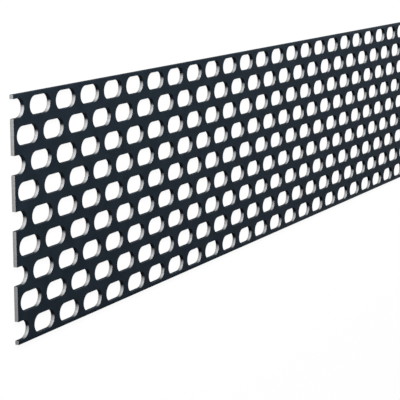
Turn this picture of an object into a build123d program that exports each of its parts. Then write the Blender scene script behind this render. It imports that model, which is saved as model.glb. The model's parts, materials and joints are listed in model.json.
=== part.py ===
from build123d import *
import os

os.makedirs("parts", exist_ok=True)

# A flat ventilation strip: coated sheet metal, punched all over with staggered slots, then cut to length.
# It lies on its back face, with X along the strip, Y across it and Z out of the front face.

# Sheet
sheet_thickness = 1.0
edge_margin = 3.0  # from an outer row's centre line to the long edge beside it

# Slots, with half-round ends
slot_length = 8.0  # end to end
slot_width = 4.3
slot_pitch = 10.0  # from slot to slot along a row
row_pitch = 6.0  # from row to row across the strip
end_flats = 5  # flats that stand for each half-round end of an air slot

# Pattern: every second row stands half a pitch along, and both ends are cut through slot centres
strip_pitches = 24
halved_rows = 5  # rows whose end slots the cuts go through, the outer two among them
whole_rows = halved_rows - 1  # rows between them, with whole slots only

row_step = 2 * row_pitch  # from one row to the next of its kind
strip_length = strip_pitches * slot_pitch
strip_width = (halved_rows + whole_rows - 1) * row_pitch + 2 * edge_margin

# Fixing slots: the corner slots of the whole rows, where screws go
fixing_span_x = (strip_pitches - 1) * slot_pitch
fixing_span_y = (whole_rows - 1) * row_step

# Air slot: its corners lie on the outline of a round-ended slot
with BuildSketch() as air_slot:
    with GridLocations(slot_length - slot_width, 0, 2, 1):
        RegularPolygon(slot_width / 2, 2 * end_flats, rotation=90)
    make_hull()

# Strip: air slots all over, and the fixing slots opened out to their true round ends
with BuildPart() as ventilation_strip:
    with BuildSketch():
        Rectangle(strip_length, strip_width)
        with GridLocations(slot_pitch, row_step, strip_pitches + 1, halved_rows):
            add(air_slot.sketch, mode=Mode.SUBTRACT)
        with GridLocations(slot_pitch, row_step, strip_pitches, whole_rows):
            add(air_slot.sketch, mode=Mode.SUBTRACT)
        with GridLocations(fixing_span_x, fixing_span_y, 2, 2):
            SlotOverall(slot_length, slot_width, mode=Mode.SUBTRACT)
    extrude(amount=sheet_thickness)

ventilation_strip.part.label = "ventilation_strip"
export_step(ventilation_strip.part, "parts/ventilation_strip.step")
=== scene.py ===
import json
import math

import bpy
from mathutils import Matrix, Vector
from mathutils.geometry import delaunay_2d_cdt


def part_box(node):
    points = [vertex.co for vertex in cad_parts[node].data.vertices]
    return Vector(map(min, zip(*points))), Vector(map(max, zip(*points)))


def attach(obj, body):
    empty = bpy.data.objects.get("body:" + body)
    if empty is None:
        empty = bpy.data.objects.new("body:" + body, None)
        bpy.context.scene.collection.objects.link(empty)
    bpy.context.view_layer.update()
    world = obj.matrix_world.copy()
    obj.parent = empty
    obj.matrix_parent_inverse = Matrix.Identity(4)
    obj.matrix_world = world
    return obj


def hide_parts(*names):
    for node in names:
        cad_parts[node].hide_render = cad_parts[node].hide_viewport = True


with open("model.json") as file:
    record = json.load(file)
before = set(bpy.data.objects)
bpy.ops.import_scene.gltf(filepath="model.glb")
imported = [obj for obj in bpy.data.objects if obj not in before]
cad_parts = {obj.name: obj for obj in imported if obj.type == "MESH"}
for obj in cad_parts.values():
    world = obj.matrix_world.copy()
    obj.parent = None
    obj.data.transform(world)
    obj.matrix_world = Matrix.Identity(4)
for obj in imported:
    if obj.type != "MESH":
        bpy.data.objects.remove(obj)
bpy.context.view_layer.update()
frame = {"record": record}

stripLow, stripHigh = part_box("ventilation_strip")
print("frame loaded, strip box", [round(v, 4) for v in (*stripLow, *stripHigh)])


def newMaterial(name):
    mat = bpy.data.materials.new(name)
    mat.use_nodes = True
    return mat, mat.node_tree, mat.node_tree.nodes["Principled BSDF"]


def addNode(tree, kind, inputs=None, **settings):
    node = tree.nodes.new(kind)
    for key, value in settings.items():
        setattr(node, key, value)
    for key, value in (inputs or {}).items():
        node.inputs[key].default_value = value
    return node


def grey(tone):
    return (tone, tone, tone, 1)


def rampBetween(tree, source, low, high, lowColour, highColour):
    ramp = addNode(tree, "ShaderNodeValToRGB")
    ends = ramp.color_ramp.elements
    ends[0].position, ends[0].color = low, (*lowColour, 1)
    ends[1].position, ends[1].color = high, (*highColour, 1)
    tree.links.new(source, ramp.inputs["Fac"])
    return ramp.outputs["Color"]


# a mix node has float, vector and colour sockets of the same names, so the colour ones go by number
mixSocket = {"a": 6, "b": 7, "result": 2}


def mixColours(tree, share, colourA, colourB):
    mix = addNode(tree, "ShaderNodeMix", data_type="RGBA")
    tree.links.new(share, mix.inputs["Factor"])
    tree.links.new(colourA, mix.inputs[mixSocket["a"]])
    tree.links.new(colourB, mix.inputs[mixSocket["b"]])
    return mix.outputs[mixSocket["result"]]


# satin coating on faces and long edges, and dragged down the walls of the slots
coat = {
    "darkTint": (0.0095, 0.0150, 0.0220),
    "lightTint": (0.0135, 0.0205, 0.0295),
    "mottle": 260.0,          # cloudy tint, about 4 mm across
    "mottleDetail": 3.0,
    "cloudFrom": 0.3,         # part of the noise that the tints are spread over
    "cloudTo": 0.7,
    "peel": 2600.0,           # fine skin of the coating, about 0.4 mm across
    "peelDetail": 4.0,
    "peelHeight": 0.000006,
    "peelStrength": 0.5,
    "roughFrom": 0.46,
    "roughTo": 0.60,
    "gloss": 0.012,
}


def coatColour(tree, place):
    cloud = addNode(tree, "ShaderNodeTexNoise", {"Scale": coat["mottle"], "Detail": coat["mottleDetail"]})
    tree.links.new(place, cloud.inputs["Vector"])
    return rampBetween(tree, cloud.outputs["Fac"], coat["cloudFrom"], coat["cloudTo"],
                       coat["darkTint"], coat["lightTint"])


def satinCoat():
    mat, tree, shader = newMaterial("satinCoat")
    place = addNode(tree, "ShaderNodeTexCoord").outputs["Object"]
    skin = addNode(tree, "ShaderNodeTexNoise", {"Scale": coat["peel"], "Detail": coat["peelDetail"]})
    bump = addNode(tree, "ShaderNodeBump", {"Strength": coat["peelStrength"],
                                            "Distance": coat["peelHeight"]})
    rough = addNode(tree, "ShaderNodeMapRange", {"To Min": coat["roughFrom"], "To Max": coat["roughTo"]})
    link = tree.links.new
    link(coatColour(tree, place), shader.inputs["Base Color"])
    link(place, skin.inputs["Vector"])
    link(skin.outputs["Fac"], rough.inputs["Value"])
    link(rough.outputs["Result"], shader.inputs["Roughness"])
    link(skin.outputs["Fac"], bump.inputs["Height"])
    link(bump.outputs["Normal"], shader.inputs["Normal"])
    shader.inputs["Specular IOR Level"].default_value = coat["gloss"]
    return mat


# bare metal where tools went through the sheet, with scoring that runs through it, and on the slot walls a
# painted highlight
bare = {
    # dark and light tint of the torn break behind, then of the burnish in front
    "wallTorn": ((0.47, 0.47, 0.465), (0.59, 0.59, 0.585)),
    "wallBright": ((0.575, 0.585, 0.595), (0.66, 0.675, 0.69)),
    "endTorn": ((0.36, 0.364, 0.37), (0.45, 0.455, 0.462)),
    "endBright": ((0.39, 0.395, 0.402), (0.47, 0.476, 0.484)),
    "breakFrom": 0.36,        # shares of the thickness between which the break turns into burnish
    "breakTo": 0.46,
    "score": (2400.0, 2400.0, 260.0),    # fine along the wall, drawn out through the sheet
    "scoreDetail": 3.0,
    "scoreFrom": 0.3,         # part of the noise that the tints are spread over
    "scoreTo": 0.7,
    "scoreHeight": 0.000010,
    "scoreStrength": 0.5,
    "tornRough": 0.72,
    "brightRough": 0.48,
    "gloss": 0.10,
    "ragged": 0.2,            # how far the scoring frays the edge of the painted highlight
    "shareFrom": 0.1,         # part of the painted highlight's share over which it fades in from the coating
    "shareTo": 0.9,
}


def bareMetal(name, torn, bright, thickness, coated):
    mat, tree, shader = newMaterial(name)
    place = addNode(tree, "ShaderNodeTexCoord").outputs["Object"]
    split = addNode(tree, "ShaderNodeSeparateXYZ")
    band = addNode(tree, "ShaderNodeMapRange", {"From Min": bare["breakFrom"] * thickness,
                                                "From Max": bare["breakTo"] * thickness})
    stretch = addNode(tree, "ShaderNodeMapping", {"Scale": bare["score"]})
    # the stretch gives the grain its size, so its own scale is 1
    grain = addNode(tree, "ShaderNodeTexNoise", {"Scale": 1.0, "Detail": bare["scoreDetail"]})
    rough = addNode(tree, "ShaderNodeMapRange", {"To Min": bare["tornRough"],
                                                 "To Max": bare["brightRough"]})
    bump = addNode(tree, "ShaderNodeBump", {"Strength": bare["scoreStrength"],
                                            "Distance": bare["scoreHeight"]})
    link = tree.links.new
    link(place, split.inputs["Vector"])
    link(place, stretch.inputs["Vector"])
    link(stretch.outputs["Vector"], grain.inputs["Vector"])
    link(split.outputs["Z"], band.inputs["Value"])
    bands = [rampBetween(tree, grain.outputs["Fac"], bare["scoreFrom"], bare["scoreTo"], *tints)
             for tints in (torn, bright)]
    colour = mixColours(tree, band.outputs["Result"], *bands)
    if coated:
        # the strip's own share attribute places the painted highlight: bright bare metal on the lit quarter
        # of each slot end, with the coating on the rest as its shade
        kept = addNode(tree, "ShaderNodeAttribute", attribute_name="paintedHighlightShare")
        fray = addNode(tree, "ShaderNodeMapRange", {"To Min": -bare["ragged"] / 2,
                                                    "To Max": bare["ragged"] / 2})
        edge = addNode(tree, "ShaderNodeMath", operation="ADD")
        share = addNode(tree, "ShaderNodeMapRange", {"From Min": bare["shareFrom"],
                                                     "From Max": bare["shareTo"]})
        link(grain.outputs["Fac"], fray.inputs["Value"])
        link(kept.outputs["Fac"], edge.inputs[0])
        link(fray.outputs["Result"], edge.inputs[1])
        link(edge.outputs[0], share.inputs["Value"])
        colour = mixColours(tree, share.outputs["Result"], coatColour(tree, place), colour)
    link(colour, shader.inputs["Base Color"])
    link(band.outputs["Result"], rough.inputs["Value"])
    link(rough.outputs["Result"], shader.inputs["Roughness"])
    link(grain.outputs["Fac"], bump.inputs["Height"])
    link(bump.outputs["Normal"], shader.inputs["Normal"])
    shader.inputs["Specular IOR Level"].default_value = coat["gloss"] if coated else bare["gloss"]
    return mat


# the strip: one loop of points for each slot, one for the outline, stacked in rings from back to front
strip = {
    "pitches": 24,
    "rows": 9,
    "arcSteps": 20,
    # share of the thickness, and how far slots, long edges and cut ends stand back there, in metres,
    # where a minus makes a slot narrower
    "rings": [
        (0.000, -0.00003, 0.00003, 0.00000),
        (0.040, -0.00005, 0.00000, 0.00000),
        (0.120, -0.00005, 0.00000, 0.00000),
        (0.420, -0.00005, 0.00000, 0.00000),
        (0.900, -0.00005, 0.00000, 0.00000),
        (0.970, -0.00004, 0.00004, 0.00002),
        (1.000, -0.00001, 0.00010, 0.00006),
    ],
    "lipFrom": 0.900,         # share of the thickness above which the coating is drawn over the edge
    # one quarter of each round end is drawn as bright bare metal, a painted highlight where light falls on
    # the wall, and the coating on the rest stands in for its shade
    "highlightFrom": 84.0,         # degrees round the end, clockwise, where the painted highlight is half in
    "highlightTo": 152.5,
    "fadeFrom": 22.0,         # degrees over which the painted highlight fades into the coating at either side
    "fadeTo": 60.0,
    "sharpAngle": 40.0,       # degrees between two wall faces that still look like one curve
    "fillInside": 1,          # Blender's number for a fill that stays inside the outline
    "fillNear": 0.000001,     # points nearer than this share of the pitch would be one
}
finishOf = {"face": 0, "longEdge": 0, "cutEnd": 1, "slot": 2}    # places in the mesh's list of materials
mmPerMetre = 1000


def slotArc(centreX, centreY, radius, fromAngle):
    steps = strip["arcSteps"]
    angles = [fromAngle - math.pi * i / steps for i in range(steps + 1)]
    return [(centreX + radius * math.cos(a), centreY + radius * math.sin(a)) for a in angles]


# how far the painted highlight shows at each step round a slot end
def paintedHighlightAlongArc():
    shares = []
    for i in range(strip["arcSteps"] + 1):
        turned = 180 * i / strip["arcSteps"]
        inside = min((turned - strip["highlightFrom"]) / strip["fadeFrom"],
                     (strip["highlightTo"] - turned) / strip["fadeTo"])
        shares.append(min(1.0, max(0.0, 0.5 + inside)))
    return shares


def stripLayout():
    dims = next(m for m in frame["record"]["mounts"] if m["name"] == "fixing_slots")["dims"]
    radius = dims["hole_r_mm"] / mmPerMetre
    length, width, thickness = stripHigh - stripLow
    pitch = length / strip["pitches"]
    rowPitch = width / strip["rows"]
    rowY = [(strip["rows"] - 1) / 2 * rowPitch - r * rowPitch for r in range(strip["rows"])]
    slots = []
    for row, y in enumerate(rowY):
        halved = row % 2 == 0                # both cuts go through slots of this row
        start = 1.0 if halved else 0.5       # pitches from the cut to the first whole slot
        slots += [(-length / 2 + (k + start) * pitch, y) for k in range(strip["pitches"] - halved)]
    return {
        "length": length,
        "width": width,
        "thickness": thickness,
        "pitch": pitch,
        "radius": radius,
        "reach": dims["slot_length_mm"] / mmPerMetre / 2 - radius,    # slot centre to round end's centre
        "rowY": rowY,
        "slots": slots,
        "paintedHighlightArc": paintedHighlightAlongArc(),
    }


layout = stripLayout()


# each point of a loop: x, y, what the wall after it is, and how much painted highlight it carries
def slotLoop(centre, back):
    x, y = centre
    radius = layout["radius"] + back
    ends = (slotArc(x + layout["reach"], y, radius, math.pi / 2)
            + slotArc(x - layout["reach"], y, radius, -math.pi / 2))
    return [(*p, "slot", share) for p, share in zip(ends, layout["paintedHighlightArc"] * 2)]


def outlineLoop(slotBack, longBack, endBack):
    halfLength, halfWidth = layout["length"] / 2, layout["width"] / 2
    endX = -halfLength + endBack
    side = [(endX, halfWidth - longBack, "cutEnd", 0)]
    for y in layout["rowY"][::2]:
        arc = slotArc(-halfLength + layout["reach"], y, layout["radius"] + slotBack, math.pi / 2)
        side.append((endX, arc[0][1], "slot", 0))
        side += [(*p, "slot", share) for p, share in zip(arc, layout["paintedHighlightArc"])]
        side.append((endX, arc[-1][1], "cutEnd", 0))
    side.append((endX, -halfWidth + longBack, "longEdge", 0))
    return side + [(-x, -y, kind, share) for x, y, kind, share in side]


def addWalls(shell, loopAt):
    first = len(shell["points"])
    for height, *backs in strip["rings"]:
        loop = loopAt(*backs)
        shell["points"] += [(x, y, height * layout["thickness"]) for x, y, kind, share in loop]
        shell["paintedHighlightShare"] += [share for x, y, kind, share in loop]
    count = len(loop)
    for ring, (height, *backs) in enumerate(strip["rings"][:-1]):
        for i in range(count):
            a = first + ring * count + i
            b = first + ring * count + (i + 1) % count
            kind = "face" if height >= strip["lipFrom"] else loop[i][2]
            shell["faces"].append((a, b, b + count, a + count))
            shell["finish"].append(finishOf[kind])
    shell["loops"].append((first, count))


# a face is filled from the outline in, and what falls inside a slot is left out again
def fillFace(shell, front):
    rise = (len(strip["rings"]) - 1) * front
    corners, loopOf, edges = [], [], []
    for loop, (first, count) in enumerate(shell["loops"]):
        edges += [(len(corners) + i, len(corners) + (i + 1) % count) for i in range(count)]
        corners += [first + rise * count + i for i in range(count)]
        loopOf += [loop] * count
    spots = [Vector(shell["points"][v][:2]) / layout["pitch"] for v in corners]
    filled = delaunay_2d_cdt(spots, edges, [], strip["fillInside"], strip["fillNear"])
    for triangle in filled[2]:
        owners = {loopOf[t] for t in triangle}
        if len(owners) > 1 or owners == {0}:
            a, b, c = (corners[t] for t in triangle)
            shell["faces"].append((a, b, c) if front else (a, c, b))
            shell["finish"].append(finishOf["face"])


def buildStrip():
    shell = {"points": [], "paintedHighlightShare": [], "faces": [], "finish": [], "loops": []}
    addWalls(shell, outlineLoop)
    for centre in layout["slots"]:
        addWalls(shell, lambda slotBack, longBack, endBack: slotLoop(centre, slotBack))
    wallFaces = len(shell["faces"])
    for front in (False, True):
        fillFace(shell, front)

    points, faces, thickness = shell["points"], shell["faces"], layout["thickness"]
    mesh = bpy.data.meshes.new("perforatedStrip")
    mesh.from_pydata(points, [], faces)
    # per point: how much of the painted highlight on the slot walls shows there
    mesh.attributes.new("paintedHighlightShare", "FLOAT", "POINT").data.foreach_set("value", shell["paintedHighlightShare"])
    mesh.materials.append(satinCoat())
    mesh.materials.append(bareMetal("shearedEnd", bare["endTorn"], bare["endBright"], thickness, False))
    mesh.materials.append(bareMetal("punchedWall", bare["wallTorn"], bare["wallBright"], thickness, True))
    mesh.polygons.foreach_set("material_index", shell["finish"])
    mesh.polygons.foreach_set("use_smooth", [i < wallFaces for i in range(len(faces))])
    mesh.set_sharp_from_angle(angle=math.radians(strip["sharpAngle"]))
    mesh.update()
    piece = bpy.data.objects.new("perforatedStrip", mesh)
    bpy.context.collection.objects.link(piece)
    print("strip built:", len(layout["slots"]), "whole slots,", len(points), "points,", len(faces), "faces")
    return piece


stripPiece = buildStrip()
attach(stripPiece, "root")
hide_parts("ventilation_strip")


# white floor just under the strip: white to the eye, a dull grey to stray light, and it keeps a soft shadow
floorLook = {
    "halfSize": 6.0,
    "drop": 0.0001,
    "glow": 0.96,
    "shadowTone": 0.06,       # what the lamps add to the glow, and a shadow takes away
    "strayTone": 0.12,
}


# 1 for what the eye sees, straight or in gloss or through glass, and 0 for stray light
def seenDirectly(tree):
    path = addNode(tree, "ShaderNodeLightPath")
    either = addNode(tree, "ShaderNodeMath", operation="MAXIMUM")
    anyOf = addNode(tree, "ShaderNodeMath", operation="MAXIMUM")
    tree.links.new(path.outputs["Is Camera Ray"], either.inputs[0])
    tree.links.new(path.outputs["Is Glossy Ray"], either.inputs[1])
    tree.links.new(either.outputs[0], anyOf.inputs[0])
    tree.links.new(path.outputs["Is Transmission Ray"], anyOf.inputs[1])
    return anyOf.outputs[0]


def buildFloor():
    half, drop = floorLook["halfSize"], floorLook["drop"]
    corners = [(-half, -half), (half, -half), (half, half), (-half, half)]
    mesh = bpy.data.meshes.new("studioFloor")
    mesh.from_pydata([(x, y, -drop) for x, y in corners], [], [(0, 1, 2, 3)])
    mat = bpy.data.materials.new("studioWhite")
    mat.use_nodes = True
    tree = mat.node_tree
    tree.nodes.clear()
    stray = addNode(tree, "ShaderNodeBsdfDiffuse", {"Color": grey(floorLook["strayTone"])})
    shade = addNode(tree, "ShaderNodeBsdfDiffuse", {"Color": grey(floorLook["shadowTone"])})
    glow = addNode(tree, "ShaderNodeEmission", {"Color": grey(1), "Strength": floorLook["glow"]})
    seen = addNode(tree, "ShaderNodeAddShader")
    mix = addNode(tree, "ShaderNodeMixShader")
    out = addNode(tree, "ShaderNodeOutputMaterial")
    link = tree.links.new
    link(shade.outputs[0], seen.inputs[0])
    link(glow.outputs[0], seen.inputs[1])
    link(seenDirectly(tree), mix.inputs[0])
    link(stray.outputs[0], mix.inputs[1])
    link(seen.outputs[0], mix.inputs[2])
    link(mix.outputs[0], out.inputs["Surface"])
    mesh.materials.append(mat)
    floor = bpy.data.objects.new("studioFloor", mesh)
    bpy.context.collection.objects.link(floor)
    print("floor laid")


buildFloor()


# a long soft box beyond the upper long edge, and a small one beside the near cut end
softBoxes = {
    "longBox": {
        "place": (0.150, 0.191, 0.146),
        "aim": (0.160, -0.100, 0.0),
        "size": (0.78, 0.08),
        "power": 1.88,
    },
    "smallBox": {
        "place": (-0.212, 0.065, 0.040),
        "aim": (-0.120, 0.010, 0.0),
        "size": (0.06, 0.06),
        "power": 0.104,
    },
}


def buildSoftBoxes():
    for name, softBox in softBoxes.items():
        lamp = bpy.data.lights.new(name, "AREA")
        lamp.shape = "RECTANGLE"
        lamp.size, lamp.size_y = softBox["size"]
        lamp.energy = softBox["power"]
        box = bpy.data.objects.new(name, lamp)
        box.location = softBox["place"]
        box.rotation_euler = (Vector(softBox["aim"]) - box.location).to_track_quat("-Z", "Y").to_euler()
        bpy.context.collection.objects.link(box)
    print("soft boxes hung")


buildSoftBoxes()


# the room: a white backdrop to the eye, and a faint fill for the strip
room = {
    "backdrop": 1.0,
    "fill": 0.03,
}


def buildRoom():
    world = bpy.data.worlds.new("studioRoom")
    bpy.context.scene.world = world
    world.use_nodes = True
    tree = world.node_tree
    tree.nodes.clear()
    fill = addNode(tree, "ShaderNodeBackground", {"Color": grey(1), "Strength": room["fill"]})
    backdrop = addNode(tree, "ShaderNodeBackground", {"Color": grey(1), "Strength": room["backdrop"]})
    mix = addNode(tree, "ShaderNodeMixShader")
    out = addNode(tree, "ShaderNodeOutputWorld")
    tree.links.new(seenDirectly(tree), mix.inputs[0])
    tree.links.new(fill.outputs[0], mix.inputs[1])
    tree.links.new(backdrop.outputs[0], mix.inputs[2])
    tree.links.new(mix.outputs[0], out.inputs["Surface"])
    print("room lit")


buildRoom()


# the photograph's view: near the left end, turned along the strip and tipped a little down across it
view = {
    "place": (-0.37596, 0.06498, 0.18044),
    "turn": 62.107,           # degrees
    "tilt": 10.861,
    "lens": 135.02,           # millimetres
    "shiftX": -0.0005,
    "shiftY": -0.0083,
    "nearest": 0.01,
}


def buildCamera():
    data = bpy.data.cameras.new("photoView")
    data.lens = view["lens"]
    data.shift_x, data.shift_y = view["shiftX"], view["shiftY"]
    data.clip_start = view["nearest"]
    camera = bpy.data.objects.new("photoView", data)
    camera.location = view["place"]
    camera.rotation_euler = (-math.radians(view["tilt"]), -math.radians(view["turn"]), 0)
    bpy.context.collection.objects.link(camera)
    bpy.context.scene.camera = camera
    print("camera placed")


buildCamera()
bpy.context.scene.view_settings.view_transform = "Standard"
